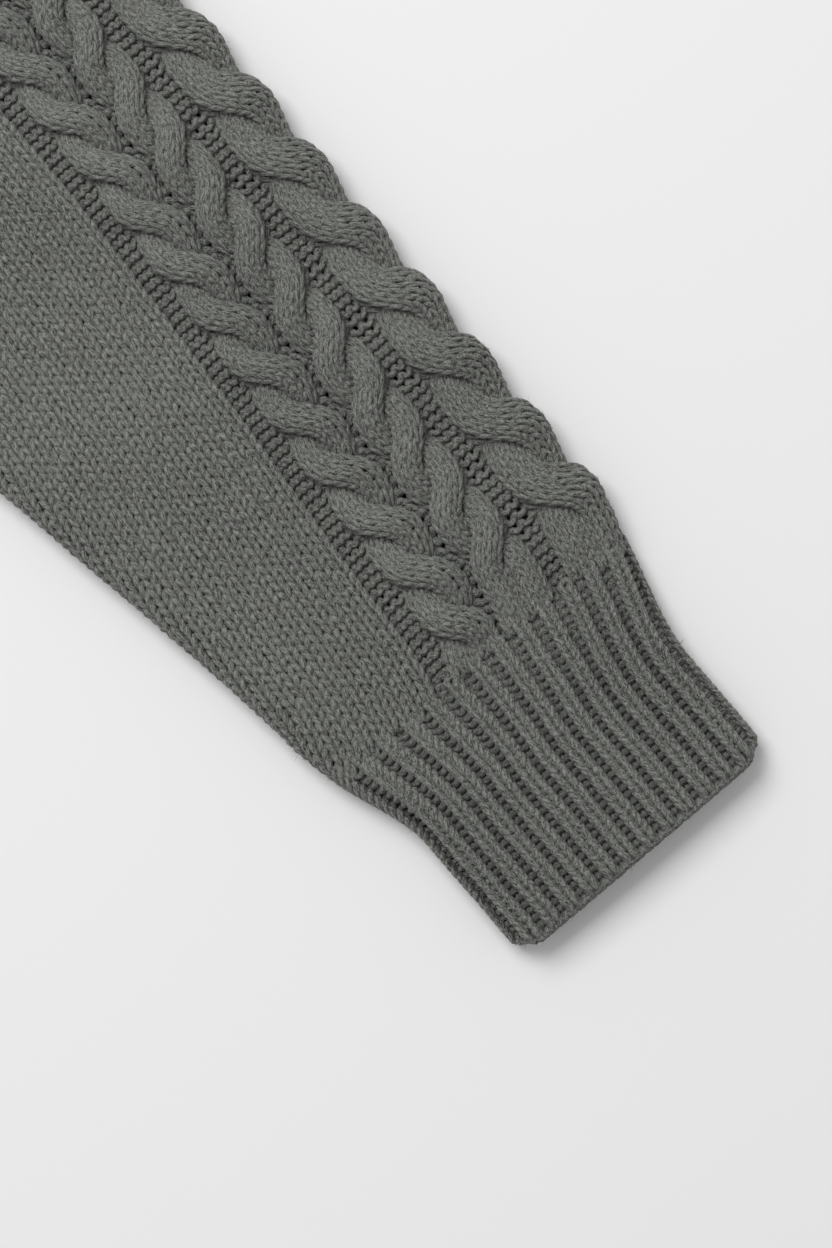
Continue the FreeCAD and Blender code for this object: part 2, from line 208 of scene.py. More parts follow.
# ---------------------------------------------------------------- loose fibres
FIBRES_PER_RING = 0.4
FIBRE_RADIUS = 0.04
FIBRE_TAPER = 0.8                # share of that radius half way along
FIBRE_LENGTH = (0.5, 3.0)
LENGTH_LOG = (0.25, 0.45)        # mean and deviation of the length's logarithm
FIBRE_SPREAD = 0.9               # radians either side of the yarn's top
FIBRE_ROOT = 0.8                 # share of the yarn's radius at which a fibre starts
FIBRE_STAND = (0.25, 0.9)        # how steeply a fibre stands off
FIBRE_LEAN = 0.7                 # how strongly it lies along the yarn
FIBRE_STRAY = 0.5
FIBRE_CURL = 0.45
TIP_CURL = 0.6
FIBRE_CLEAR = 0.02               # above the floor
SPIKE_POINTS = 7
SPIKE_QUADS = np.array([(0, 3, 4, 1), (1, 4, 5, 2), (2, 5, 3, 0)])
SPIKE_TRIANGLES = np.array([(3, 6, 4), (4, 6, 5), (5, 6, 3), (0, 1, 2)])


# ---------------------------------------------------------------- the tube
def smooth(value):
    value = np.clip(value, 0.0, 1.0)
    return value * value * (3 - 2 * value)


def opened(up, opening):
    """0 along the pulled-in cuff, rising to 1 above it."""
    return smooth((up - opening.start) / opening.run)


def ripple(value, seed):
    """A soft irregularity of about one unit, the same on every run."""
    return sum(share * np.sin(value / length + shift * seed) for length, share, shift in WAVES) / 2


def centre_silhouette(up):
    inset = CUFF_INSET * (1 - opened(up, CENTRE_OPENING))
    return CENTRE_FOLD + CENTRE_PROUD - inset + CENTRE_WAVER * ripple(up, seed=1.0)


def underarm_silhouette(up):
    along = np.maximum(up, BLOUSE_START)
    puff = UNDERARM_PROUD + BLOUSE * np.exp((BLOUSE_START - along) / BLOUSE_RUN)
    sleeve = UNDERARM_FOLD + UNDERARM_SLOPE * (CUFF_END - along - UNDERARM) - puff
    share = opened(up, UNDERARM_OPENING)
    return CUFF_FOOT * (1 - share) + sleeve * share + UNDERARM_WAVER * ripple(up, seed=2.6)


def section_at(up):
    """Fold centres at each place along the sleeve: the y of the centre and underarm folds."""
    right = centre_silhouette(up) - CABLE_SIDE - FOLD_REACH
    left = underarm_silhouette(up) + PLAIN_SIDE + FOLD_REACH
    return right, left


def girth_at(up):
    right, left = section_at(up)
    return 2 * (right - left) + 4 * QUARTER


def seam_distance(up):
    """From the centre fold round the back to the seam."""
    right, left = section_at(up)
    return QUARTER + right - left - SEAM_IN + PLAIN_SIDE + FOLD_REACH


def turned_at(around, right, left):
    """How far the surface has turned at each place round the tube, and the y it turns about."""
    flat = right - left
    around = np.where(around < -QUARTER - flat / 2, around + 2 * flat + 4 * QUARTER, around)
    distance = np.abs(around)
    beyond = around - QUARTER - flat
    on_centre_fold = distance <= QUARTER
    on_front = (around > QUARTER) & (beyond <= 0)
    on_underarm_fold = (beyond > 0) & (beyond <= 2 * QUARTER)
    stretches = [on_centre_fold, on_front, on_underarm_fold, around > 0]
    right_angle = math.pi / 2
    turn = np.select(
        stretches,
        [
            around / QUARTER * right_angle,
            np.full_like(around, right_angle),
            right_angle + np.clip(beyond / QUARTER, 0, 2) * right_angle,
            np.full_like(around, 3 * right_angle),
        ],
        -right_angle,
    )
    centre = np.select(
        stretches,
        [right, right - (around - QUARTER), left, left + beyond - 2 * QUARTER],
        right - (distance - QUARTER),
    )
    return turn, centre


def place(around, up, out):
    """World position and outward normal of points given round the tube, along it and out of it."""
    right, left = section_at(up)
    turn, centre = turned_at(around, right, left)
    y = centre + FOLD_REACH * np.cos(turn)
    z = MIDDLE + FOLD_RISE * np.sin(turn)
    ny = np.cos(turn) / FOLD_REACH
    nz = np.sin(turn) / FOLD_RISE
    length = np.hypot(ny, nz)
    ny, nz = ny / length, nz / length

    share = np.clip((y - left) / np.maximum(right - left, 1.0), 0, 1)
    waver = FACE_WAVER * ripple(y * FACE_ACROSS + up * FACE_UP, seed=0.7)
    crown = (LOFT * 4 * share * (1 - share) + waver) * np.clip(np.sin(turn), 0, 1)
    to_fold = np.minimum(right + FOLD_REACH - y, y - left + FOLD_REACH)
    rounded = CORNER * np.clip(1 - to_fold / CORNER_REACH, 0, 1) ** 2 * np.exp(-up / CORNER_RUN)
    position = np.stack([CUFF_END - up - rounded, y + ny * out, z + crown + nz * out], axis=-1)
    return position, np.stack([np.zeros_like(ny), ny, nz], axis=-1)


def armhole_line(x):
    """The y of the sleeve head's edge at x: two equal tangent arcs."""
    height = UNDERARM - CROWN
    run = CROWN_END - STEP_END
    radius = (height**2 + run**2) / (4 * height)
    half = (UNDERARM + CROWN) / 2
    lower = STEP_END + np.sqrt(np.maximum(radius**2 - (x - UNDERARM + radius) ** 2, 0))
    upper = CROWN_END - np.sqrt(np.maximum(radius**2 - (CROWN + radius - x) ** 2, 0))
    return np.where(x > half, lower, upper)


# ---------------------------------------------------------------- the panel's columns
class Column:
    """One wale: where it runs round the tube and how its stitches are made."""

    def __init__(self, region, pitch, stitch, recess=0.0, cable=None):
        self.region = region
        self.pitch = pitch
        self.stitch = stitch
        self.recess = recess
        self.cable = cable
        self.around = 0.0


class Cable:
    """A two-strand rope: each strand is `strand` wales wide and the strands cross once a period."""

    def __init__(self, strand, rows, lean, phase):
        self.strand = strand
        self.period = rows * COURSE
        self.lean = lean
        self.phase = phase
        self.centre = 0.0

    def path(self, up, strand):
        """Sideways and outward place of a strand's centre line, and its slope, at each height."""
        first = math.ceil(CUFF_LENGTH / self.period + self.phase)
        last = math.floor((CUFF_END - CROWN - CROWN_MARGIN) / self.period + self.phase)
        turned = up / self.period + self.phase
        moving = (turned > first) & (turned < last)
        angle = math.pi * (np.clip(turned, first, last) + strand)
        reach = CABLE_WALE * self.strand / 2
        side = -self.lean * reach * (np.cos(angle) - TAIL * np.cos(3 * angle)) / (1 - TAIL)
        turning = (np.sin(angle) - 3 * TAIL * np.sin(3 * angle)) / (1 - TAIL)
        slope = self.lean * reach * turning * math.pi / self.period * moving
        out = (CROSS_LIFT - CROSS_DIP) / 2 + (CROSS_LIFT + CROSS_DIP) / 2 * np.sin(angle)
        return side, out, slope


# wales in a strand, rows between crossings, the way it leans, and where its crossings fall
CABLES = {
    "cable_1": Cable(3, 6, 1, 0.81),
    "cable_2": Cable(3, 6, -1, 0.20),
    "cable_3": Cable(4, 8, 1, 0.52),
    "cable_4": Cable(3, 6, 1, 0.0),
    "cable_5": Cable(3, 6, -1, 0.0),
}


def cable_columns(name):
    cable = CABLES[name]
    return [Column(name, CABLE_WALE, CABLED, cable=cable) for _ in range(2 * cable.strand)]


def gutter_columns(name, count, pitch, stitch=PURL):
    return [Column(name, pitch, stitch, recess=GUTTER_RECESS) for _ in range(count)]


def plain_columns(name, width):
    return [Column(name, WALE, PLAIN) for _ in range(int(width / WALE))]


def laid_out(columns, start, way):
    """Gives each column its place round the tube, from start, and each cable its centre."""
    edge = start
    for column in columns:
        column.around = edge + way * column.pitch / 2
        edge += way * column.pitch
    for cable in {column.cable for column in columns if column.cable}:
        places = [column.around for column in columns if column.cable is cable]
        cable.centre = sum(places) / len(places)
    return edge


def panel_columns():
    """All the sleeve's columns, in order round the tube from the back seam to the front seam."""
    front = (
        cable_columns("cable_3")
        + gutter_columns("gutter_3", 3, 2.0, FINE_PURL)
        + cable_columns("cable_2")
        + gutter_columns("gutter_2", 1, 1.8)
        + cable_columns("cable_1")
        + gutter_columns("gutter_1", 3, 2.0, FINE_PURL)
    )
    back = (
        gutter_columns("gutter_4", 4, 2.6)
        + cable_columns("cable_4")
        + gutter_columns("gutter_5", 1, 2.3)
        + cable_columns("cable_5")
        + gutter_columns("gutter_6", 2, 2.5)
    )
    front_end = laid_out(front, FIRST_CABLE, 1)
    back_end = laid_out(back, FIRST_CABLE, -1)
    widest = CENTRE_FOLD - UNDERARM_FOLD
    front_plain = plain_columns("front", widest + FRONT_SPARE - front_end)
    back_plain = plain_columns("back", widest + BACK_SPARE + back_end)
    laid_out(front_plain, front_end, 1)
    laid_out(back_plain, back_end, -1)
    return back_plain[::-1] + back[::-1] + front + front_plain


# ---------------------------------------------------------------- loops of yarn
LOOP_TURN = np.arange(LOOP_POINTS + 1) * FULL_TURN / LOOP_POINTS


def loop_shape(pitch, height, depth, sway):
    """Nine points of a stitch, from the middle of one sinker to the next: across, up and out."""
    across = pitch[..., None] * (LOOP_TURN / FULL_TURN - 0.5 + sway * np.sin(2 * LOOP_TURN))
    up = -height * np.cos(LOOP_TURN) + 0 * across
    out = -depth * np.cos(2 * LOOP_TURN) + 0 * across
    return across, up, out


def unit(vectors):
    return vectors / np.maximum(np.linalg.norm(vectors, axis=-1, keepdims=True), 1e-9)


def doubled(values):
    """Adds a point half way between each pair along axis 1, on a smooth curve."""
    before = np.concatenate([values[:, :1], values[:, :-1]], axis=1)[:, :-1]
    after = np.concatenate([values[:, 1:], values[:, -1:]], axis=1)[:, 1:]
    half = (9 * (values[:, :-1] + values[:, 1:]) - before - after) / 16
    count = values.shape[1] * 2 - 1
    result = np.empty((values.shape[0], count) + values.shape[2:])
    result[:, 0::2] = values
    result[:, 1::2] = half
    return result


class Fabric:
    """Rows of stitches as smoothed yarn centre lines, ready to be cut into pieces."""

    def __init__(self, centre, normal, thickness, active):
        """Takes [rows, points] values, with LOOP_POINTS to a stitch, and active [rows, stitches]."""
        self.centre = doubled(centre)
        self.normal = doubled(normal)
        self.radius = doubled(thickness[..., None])[..., 0]
        self.radius *= 1 + YARN_WAVER * rng.standard_normal(self.radius.shape)
        self.centre[..., 2] = np.maximum(self.centre[..., 2], self.radius)
        self.active = active

    def rings(self):
        """Directions along, beside and above the yarn at every ring."""
        tangent = unit(np.gradient(self.centre, axis=1))
        side = unit(np.cross(tangent, self.normal))
        return tangent, side, np.cross(side, tangent)


def joined_rows(around, up, out, radius, active):
    """A Fabric from [rows, columns, 9] loops: each stitch ends where the next one starts."""
    rows, columns = active.shape
    for values, low in ((around, 0.5), (up, 0.5), (out, SINKER_DEPTH)):
        pair = values[:, 1:, 0], values[:, :-1, LOOP_POINTS]
        shared = low * np.minimum(*pair) + (1 - low) * np.maximum(*pair)
        values[:, 1:, 0] = shared
        values[:, :-1, LOOP_POINTS] = shared

    def in_row(values):
        points = values[:, :, :LOOP_POINTS].reshape(rows, columns * LOOP_POINTS)
        return np.concatenate([points, values[:, -1:, LOOP_POINTS]], axis=1)

    centre, normal = place(in_row(around), in_row(up), in_row(out))
    thickness = np.repeat(radius, LOOP_POINTS, axis=1)
    thickness = np.concatenate([thickness, thickness[:, -1:]], axis=1)
    return Fabric(centre, normal, thickness, active)


# ---------------------------------------------------------------- the sleeve above the cuff
def sleeve_loops(columns, rows):
    """Every stitch's loop before it is laid on the tube, each a little off, as hands make them."""
    count = len(columns)
    across, along, out = (np.empty((rows, count, LOOP_POINTS + 1)) for _ in range(3))
    for index, column in enumerate(columns):
        stitch = column.stitch
        loop = loop_shape(np.array(column.pitch), stitch.height, stitch.depth, stitch.sway)
        across[:, index], along[:, index] = loop[:2]
        out[:, index] = loop[2] * stitch.face - column.recess
    loose = np.array([column.stitch.loose for column in columns])[:, None]
    across += loose * rng.standard_normal((rows, count, 1))
    along += loose * rng.standard_normal((rows, count, 1))
    out += loose / 2 * rng.standard_normal((rows, count, 1))
    return across, along, out


def draw_in(cable, nominal, up, around):
    """Purl columns beside a cable bow into the notches where its strands cross."""
    half = cable.strand * CABLE_WALE
    crossing = np.sin(math.pi * (up / cable.period + cable.phase)) ** 2
    notch = crossing * smooth((up - CUFF_LENGTH) / NOTCH_RUN)
    for index, place_round in enumerate(nominal):
        gap = abs(place_round - cable.centre) - half
        if 0 < gap < NOTCH_REACH:
            pull = NOTCH * (1 - gap / NOTCH_REACH) * math.copysign(1, cable.centre - place_round)
            around[:, index] += pull * notch[:, index]


def lay_cable(cable, members, up_row, up, around, across, out):
    """Moves a cable's stitches, in order round the tube, on to its two crossing strands."""
    first_is_low = cable.path(up_row, 0)[0] < 0
    width = cable.strand
    pressed = BACK_PRESS if cable.centre < -QUARTER else 0.0
    for slot, index in enumerate(members):
        low_side = slot < width
        offset = (slot % width - (width - 1) / 2) * CABLE_WALE
        for strand in (0, 1):
            mine = first_is_low == ((strand == 0) == low_side)
            here = up[mine, index]
            side, lift, slope = cable.path(here, strand)
            lean = np.arctan(slope)
            sideways = offset + across[mine, index]
            around[mine, index] = cable.centre + side + sideways * np.cos(lean)
            up[mine, index] = here - sideways * np.sin(lean)
            rounding = STRAND_ROUND * (sideways / (width / 2 * CABLE_WALE)) ** 2
            settle = smooth((here - CUFF_LENGTH) / RELIEF_RUN)
            out[mine, index] += (CABLE_RISE + lift - rounding) * settle - pressed


def within_sleeve(columns, up_row, middle):
    """The stitches between the seam's two sides and inside the armhole's edge."""
    x = CUFF_END - up_row
    right, _ = section_at(up_row)
    seam = seam_distance(up_row)
    between = (middle < (girth_at(up_row) - seam)[:, None]) & (middle > -seam[:, None])
    reach = right - armhole_line(x) + QUARTER
    half_pitch = np.array([column.pitch for column in columns]) / 2
    in_head = np.abs(middle) + half_pitch < reach[:, None]
    return between & np.where((x < UNDERARM)[:, None], in_head, True)


def knitted_sleeve(columns):
    """The sleeve above the cuff, as a Fabric, and the height of each of its rows."""
    rows = int((CUFF_END - CUFF_LENGTH - CROWN) / COURSE)
    up_row = CUFF_LENGTH + COURSE * (np.arange(rows) + 0.5)
    nominal = np.array([column.around for column in columns])
    across, along, out = sleeve_loops(columns, rows)
    up = up_row[:, None, None] + along
    around = nominal[None, :, None] + across
    past_gutters = (nominal > LAST_GUTTER)[None, :, None]
    around += WALE_WAVER * ripple(up + around, seed=3.3) * past_gutters
    for cable in CABLES.values():
        members = [n for n, column in enumerate(columns) if column.cable is cable]
        lay_cable(cable, members, up_row, up, around, across, out)
        draw_in(cable, nominal, up, around)
    around += np.maximum(around, 0) * SPREAD * np.tanh((SPREAD_UP - up) / SPREAD_RUN)

    active = within_sleeve(columns, up_row, around.mean(axis=2))
    radius = np.broadcast_to([column.stitch.yarn for column in columns], active.shape)
    return joined_rows(around, up, out, radius, active), up_row


# ---------------------------------------------------------------- the cuff
def knitted_rib():
    """The cuff in one-by-one rib, as a Fabric, and its columns' places in the first row."""
    rows = int(CUFF_LENGTH / RIB_COURSE)
    count = 2 * RIBS
    up_row = CUFF_LENGTH / rows * (np.arange(rows) + 0.5)
    knit = np.arange(count)[None] % 2 == 1
    wide = opened(up_row, RIB_OPENING)[:, None]
    share = RIB_SHARE - OPEN_LOSS * wide
    pitch = (girth_at(up_row) / RIBS)[:, None] * np.where(knit, share, 1 - share)
    centre = -seam_distance(up_row)[:, None] + np.cumsum(pitch, axis=1) - pitch / 2

    first_purl = CUFF_LENGTH - rng.uniform(0.0, FIRST_PURL, count)
    ribbed = 1 - smooth((up_row[:, None] - first_purl[None]) / FIRST_PURL_RUN)
    face = np.where(knit, 1.0, 1 - 2 * ribbed)
    closed = (1 - VALLEY_LOSS * wide) * smooth((up_row - HEM_START) / HEM_RUN)[:, None] * ribbed
    proud = np.where(knit, RIB_PROUD, VALLEY) * closed
    lip = LIP * (1 - smooth(up_row / LIP_RUN))[:, None]

    across, along, out = loop_shape(pitch, RIB_HEIGHT, RIB_DEPTH, RIB_SWAY)
    across *= np.where(knit, RIB_SLIM, 1.0)[..., None]
    along *= np.where(knit, 1.0, 1 + VALLEY_STRETCH * closed)[..., None]
    out = out * face[..., None] + (proud - lip)[..., None]
    along += RIB_LOOSE * rng.standard_normal((rows, count, 1))
    across += RIB_LOOSE * rng.standard_normal((rows, count, 1))
    up = np.maximum(up_row[:, None, None] + along, EDGE_UP)
    around = centre[..., None] + across
    radius = np.where(knit, RIB_YARN, VALLEY_YARN + VALLEY_SWELL * closed)
    return joined_rows(around, up, out, radius, np.ones((rows, count), bool)), centre[0]


# ---------------------------------------------------------------- linking chains
def linked_chain(points, link):
    """A row of linking stitches along (around, up) points, as a Fabric of one row."""
    points = np.array(points, float)
    reached = np.concatenate([[0], np.cumsum(np.hypot(*np.diff(points, axis=0).T))])
    count = int(reached[-1] / link.length)
    turn = np.arange(count * LOOP_POINTS + 1) * FULL_TURN / LOOP_POINTS
    even = reached[-1] * turn / turn[-1]
    line = [np.interp(even, reached, points[:, axis]) for axis in (0, 1)]
    heading = np.array([np.gradient(values) for values in line])
    heading /= np.maximum(np.hypot(*heading), 1e-9)
    forward = LINK_SLANT * link.length * np.sin(2 * turn)
    swing = link.width / 2 * np.sin(turn)
    around = line[0] + heading[0] * forward - heading[1] * swing
    up = line[1] + heading[1] * forward + heading[0] * swing
    centre, normal = place(around, up, link.out + LINK_CURL * link.radius * np.cos(2 * turn))
    thickness = np.full((1, len(turn)), link.radius)
    return Fabric(centre[None], normal[None], thickness, np.ones((1, count), bool))


def seam_points(low, high):
    ups = np.linspace(low, high, SEAM_SAMPLES)
    return list(zip(-seam_distance(ups), ups))


def cast_on_points():
    half_girth = girth_at(np.array([0.0]))[0] / 2
    arounds = np.linspace(-half_girth, half_girth, CAST_ON_SAMPLES)
    return [(around, CAST_ON_UP) for around in arounds]


def armhole_points():
    """Round the armhole: up the front's sleeve head, across the crown and down the back."""
    xs = np.linspace(UNDERARM, CROWN, HEAD_SAMPLES)
    right, left = section_at(CUFF_END - xs)
    reach = right - armhole_line(xs) + QUARTER
    fold = 2 * QUARTER + (right - left)[0]
    step_up = CUFF_END - UNDERARM
    front = list(zip(reach, CUFF_END - xs))
    over_crown = np.linspace(reach[-1], -reach[-1], CROWN_SAMPLES)[1:-1]
    crown = [(around, CUFF_END - CROWN) for around in over_crown]
    back = [(-around, up) for around, up in reversed(front)]
    return [(fold, step_up)] + front + crown + back + [(-fold, step_up)]


# ---------------------------------------------------------------- meshes
ROW_SHIFT = 0.37                 # stitches by which each row's yarn differs from the last
CELL_SHAPE = 3.3                 # rows of cells in the baked image for each cell across
MARGIN_ALONG, MARGIN_ROUND = 0.03, 0.06   # inside a stitch's cell
CAP_SPOT = 0.001                 # the end faces share one corner of the image


def loose_fibres(tubes):
    """Short fibres that stand off the yarn: the ring of each, and its closed spike's points."""
    count = int(len(tubes.centre) * FIBRES_PER_RING)
    at = np.sort(rng.integers(0, len(tubes.centre), count))
    turn = rng.normal(math.pi / 2, FIBRE_SPREAD, count)[:, None]
    outward = tubes.side[at] * np.cos(turn) + tubes.top[at] * np.sin(turn)
    root = tubes.centre[at] + outward * (tubes.radius[at] * FIBRE_ROOT)[:, None]
    length = np.clip(rng.lognormal(*LENGTH_LOG, count), *FIBRE_LENGTH)[:, None]
    lean = tubes.tangent[at] * rng.choice((-1, 1), count)[:, None]
    lean += FIBRE_STRAY * rng.standard_normal((count, 3))
    aim = outward * rng.uniform(*FIBRE_STAND, (count, 1)) + lean * FIBRE_LEAN
    aim /= np.linalg.norm(aim, axis=1, keepdims=True)
    curl = FIBRE_CURL * rng.standard_normal((count, 3))
    middle = root + aim * length * 0.5
    wide = unit(np.cross(aim, outward))
    deep = np.cross(aim, wide)

    points = np.empty((count, SPIKE_POINTS, 3))
    for corner in range(3):
        angle = corner * FULL_TURN / 3
        spoke = (wide * math.cos(angle) + deep * math.sin(angle)) * FIBRE_RADIUS
        points[:, corner] = root + spoke
        points[:, 3 + corner] = middle + spoke * FIBRE_TAPER
    points[:, -1] = root + (aim + curl * TIP_CURL) * length
    points[..., 2] = np.maximum(points[..., 2], FIBRE_CLEAR)
    return at, points


class YarnTubes:
    """The chosen stitches' yarn as closed tubes, joined from stitch to stitch."""

    def __init__(self, fabric, chosen):
        self.chosen = chosen
        steps = np.repeat(chosen, STEPS, axis=1)
        used = np.zeros(fabric.radius.shape, bool)
        used[:, :-1] |= steps
        used[:, 1:] |= steps
        self.ring_id = np.full(used.shape, -1)
        self.ring_id[used] = np.arange(used.sum())
        self.centre = fabric.centre[used]
        self.radius = fabric.radius[used]
        self.tangent, self.side, self.top = (vectors[used] for vectors in fabric.rings())
        self.row, self.step = np.nonzero(steps)
        self.here = self.ring_id[self.row, self.step]
        self.there = self.ring_id[self.row, self.step + 1]
        stitch_id = np.full(chosen.shape, -1)
        stitch_id[chosen] = np.arange(chosen.sum())
        self.stitch = stitch_id[self.row, self.step // STEPS]

    def points(self):
        angle = np.arange(SIDES)[None, :, None] * FULL_TURN / SIDES
        spokes = self.side[:, None] * np.cos(angle) + self.top[:, None] * np.sin(angle)
        return (self.centre[:, None] + spokes * self.radius[:, None, None]).reshape(-1, 3)

    def quads(self):
        corner = np.arange(SIDES)
        following = (corner + 1) % SIDES
        here, there = self.here[:, None] * SIDES, self.there[:, None] * SIDES
        faces = [here + corner, there + corner, there + following, here + following]
        return np.stack(faces, axis=-1).reshape(-1, 4)

    def caps(self):
        """The faces that close each run of stitches."""
        padded = np.pad(self.chosen, ((0, 0), (1, 1)))
        first_row, first = np.nonzero(self.chosen & ~padded[:, :-2])
        last_row, last = np.nonzero(self.chosen & ~padded[:, 2:])
        corner = np.arange(SIDES)
        starts = self.ring_id[first_row, first * STEPS][:, None] * SIDES + corner
        ends = self.ring_id[last_row, (last + 1) * STEPS][:, None] * SIDES + corner[::-1]
        return np.concatenate([starts, ends])

    def stitch_of_ring(self):
        result = np.zeros(len(self.centre), int)
        result[self.there] = self.stitch
        result[self.here] = self.stitch
        return result

    def steps_and_turns(self):
        """For every quad's corners, the ring along the stitch and the side round the yarn."""
        steps = (self.step % STEPS)[:, None, None] + np.array([0, 1, 1, 0])
        turns = np.arange(SIDES)[None, :, None] + np.array([0, 0, 1, 1])
        return np.broadcast_arrays(steps, turns)

    def yarn_places(self):
        """For every quad's corners, the place along the yarn, in stitches, and round it."""
        steps, turns = self.steps_and_turns()
        stitches = (self.step // STEPS)[:, None, None] + steps / STEPS
        along = stitches + (self.row * ROW_SHIFT)[:, None, None]
        return np.stack([along, turns / SIDES], axis=-1).reshape(-1, 2)


class Atlas:
    """The layout of the baked image, with one cell for each stitch."""

    def __init__(self, count):
        self.across = math.ceil(math.sqrt(count / CELL_SHAPE))
        self.down = math.ceil(count / self.across)

    def spot(self, stitch, along, turned):
        """Image coordinates of a place in a stitch's cell; along and turned run from 0 to 1."""
        u = (stitch % self.across + along) / self.across
        v = (stitch // self.across + turned) / self.down
        return np.stack([u, v], axis=-1).reshape(-1, 2)

    def places(self, tubes):
        steps, turns = tubes.steps_and_turns()
        along = MARGIN_ALONG + (1 - 2 * MARGIN_ALONG) * steps / STEPS
        turned = MARGIN_ROUND + (1 - 2 * MARGIN_ROUND) * turns / SIDES
        return self.spot(tubes.stitch[:, None, None], along, turned)


def filled_mesh(name, points, polygons):
    """A smooth mesh; each array in polygons holds faces with equally many corners."""
    mesh = bpy.data.meshes.new(name)
    mesh.vertices.add(len(points))
    mesh.vertices.foreach_set("co", (points.reshape(-1) / MM).astype(np.float32))
    corners = np.concatenate([faces.reshape(-1) for faces in polygons])
    sizes = np.concatenate([np.full(len(faces), faces.shape[1]) for faces in polygons])
    mesh.loops.add(len(corners))
    mesh.loops.foreach_set("vertex_index", corners.astype(np.int32))
    mesh.polygons.add(len(sizes))
    mesh.polygons.foreach_set("loop_start", (np.cumsum(sizes) - sizes).astype(np.int32))
    mesh.polygons.foreach_set("use_smooth", np.ones(len(sizes), bool))
    return mesh


def yarn_mesh(name, fabric, chosen):
    """A mesh of the chosen stitches' yarn, with its loose fibres."""
    tubes = YarnTubes(fabric, chosen)
    caps = tubes.caps()
    root, spikes = loose_fibres(tubes)
    first_point = len(tubes.centre) * SIDES + SPIKE_POINTS * np.arange(len(spikes))[:, None, None]
    spike_quads = (first_point + SPIKE_QUADS).reshape(-1, 4)
    spike_triangles = (first_point + SPIKE_TRIANGLES).reshape(-1, 3)
    points = np.concatenate([tubes.points(), spikes.reshape(-1, 3)])
    mesh = filled_mesh(name, points, (tubes.quads(), caps, spike_quads, spike_triangles))

    atlas = Atlas(chosen.sum())
    middles = atlas.spot(tubes.stitch_of_ring()[root], 0.5, 0.5)
    extras = [
        np.full((caps.size, 2), CAP_SPOT),
        np.repeat(middles, SPIKE_QUADS.size, axis=0),
        np.repeat(middles, SPIKE_TRIANGLES.size, axis=0),
    ]
    for layer, places in (("OFBake", atlas.places(tubes)), ("Yarn", tubes.yarn_places())):
        uv = np.concatenate([places] + extras)
        mesh.uv_layers.new(name=layer).data.foreach_set("uv", uv.reshape(-1).astype(np.float32))
    rest = mesh.attributes.new("rest", "FLOAT_VECTOR", "POINT")
    rest.data.foreach_set("vector", points.reshape(-1).astype(np.float32))
    mesh.update(calc_edges=True)
    mesh.validate()
    return mesh


# ---------------------------------------------------------------- materials
DARK_GREY, LIGHT_GREY = (0.022, 0.023, 0.020), (0.238, 0.245, 0.226)
DARK_TONE, LIGHT_TONE = 0.43, 0.605
SHEEN_TINT = (0.85, 0.88, 0.84, 1)
WOOL_SURFACE = {
    "Roughness": 0.95,
    "Specular IOR Level": 0.1,
    "Sheen Weight": 0.25,
    "Sheen Roughness": 0.5,
    "Sheen Tint": SHEEN_TINT,
}
FIBRE_STRETCH = (12.0, 19.0, 1)  # fibres along one stitch and round the yarn
HEATHER_SCALE, CLOUD_SCALE = 2.1, 0.02
# the last of these tones is painted shade: each yarn is coloured lighter on its top and darker on its
# underside
FIBRE_TONE, HEATHER_TONE, CLOUD_TONE, PAINTED_SHADE_TONE = 0.55, 0.35, 0.06, 0.06
NOISE_DETAIL, NOISE_ROUGHNESS = 2, 0.6
PLY_ALONG, PLY_ROUND = 5.0, 3.0  # plies that pass in a stitch and in a turn round the yarn
PLY_RELIEF = 0.15
BUMP_STRENGTH, BUMP_DEPTH = 0.7, 0.0004
FLOOR_BRIGHTNESS, FLOOR_ROUGHNESS = 0.80, 0.9


class NodeTree:
    """Short ways to add nodes to a material."""

    def __init__(self, material):
        material.use_nodes = True
        self.nodes = material.node_tree.nodes
        self.link = material.node_tree.links.new
        self.shader = self.nodes["Principled BSDF"]

    def surface(self, values):
        for socket, value in values.items():
            self.shader.inputs[socket].default_value = value

    def noise(self, source, scale, stretch=(1, 1, 1)):
        mapping = self.nodes.new("ShaderNodeMapping")
        mapping.inputs["Scale"].default_value = stretch
        self.link(source, mapping.inputs["Vector"])
        texture = self.nodes.new("ShaderNodeTexNoise")
        texture.inputs["Scale"].default_value = scale
        texture.inputs["Detail"].default_value = NOISE_DETAIL
        texture.inputs["Roughness"].default_value = NOISE_ROUGHNESS
        self.link(mapping.outputs["Vector"], texture.inputs["Vector"])
        return texture.outputs["Fac"]

    def math(self, operation, *values):
        node = self.nodes.new("ShaderNodeMath")
        node.operation = operation
        for socket, value in zip(node.inputs, values):
            if isinstance(value, (int, float)):
                socket.default_value = value
            else:
                self.link(value, socket)
        return node.outputs[0]

    def wave(self, turns):
        return self.math("SINE", self.math("MULTIPLY", turns, FULL_TURN))

    def ramp(self, tone, stops):
        ramp = self.nodes.new("ShaderNodeValToRGB")
        for element, (position, colour) in zip(ramp.color_ramp.elements, stops):
            element.position = position
            element.color = (*colour, 1)
        self.link(tone, ramp.inputs["Fac"])
        return ramp.outputs["Color"]

    def bump(self, height):
        bump = self.nodes.new("ShaderNodeBump")
        bump.inputs["Strength"].default_value = BUMP_STRENGTH
        bump.inputs["Distance"].default_value = BUMP_DEPTH
        self.link(height, bump.inputs["Height"])
        self.link(bump.outputs["Normal"], self.shader.inputs["Normal"])


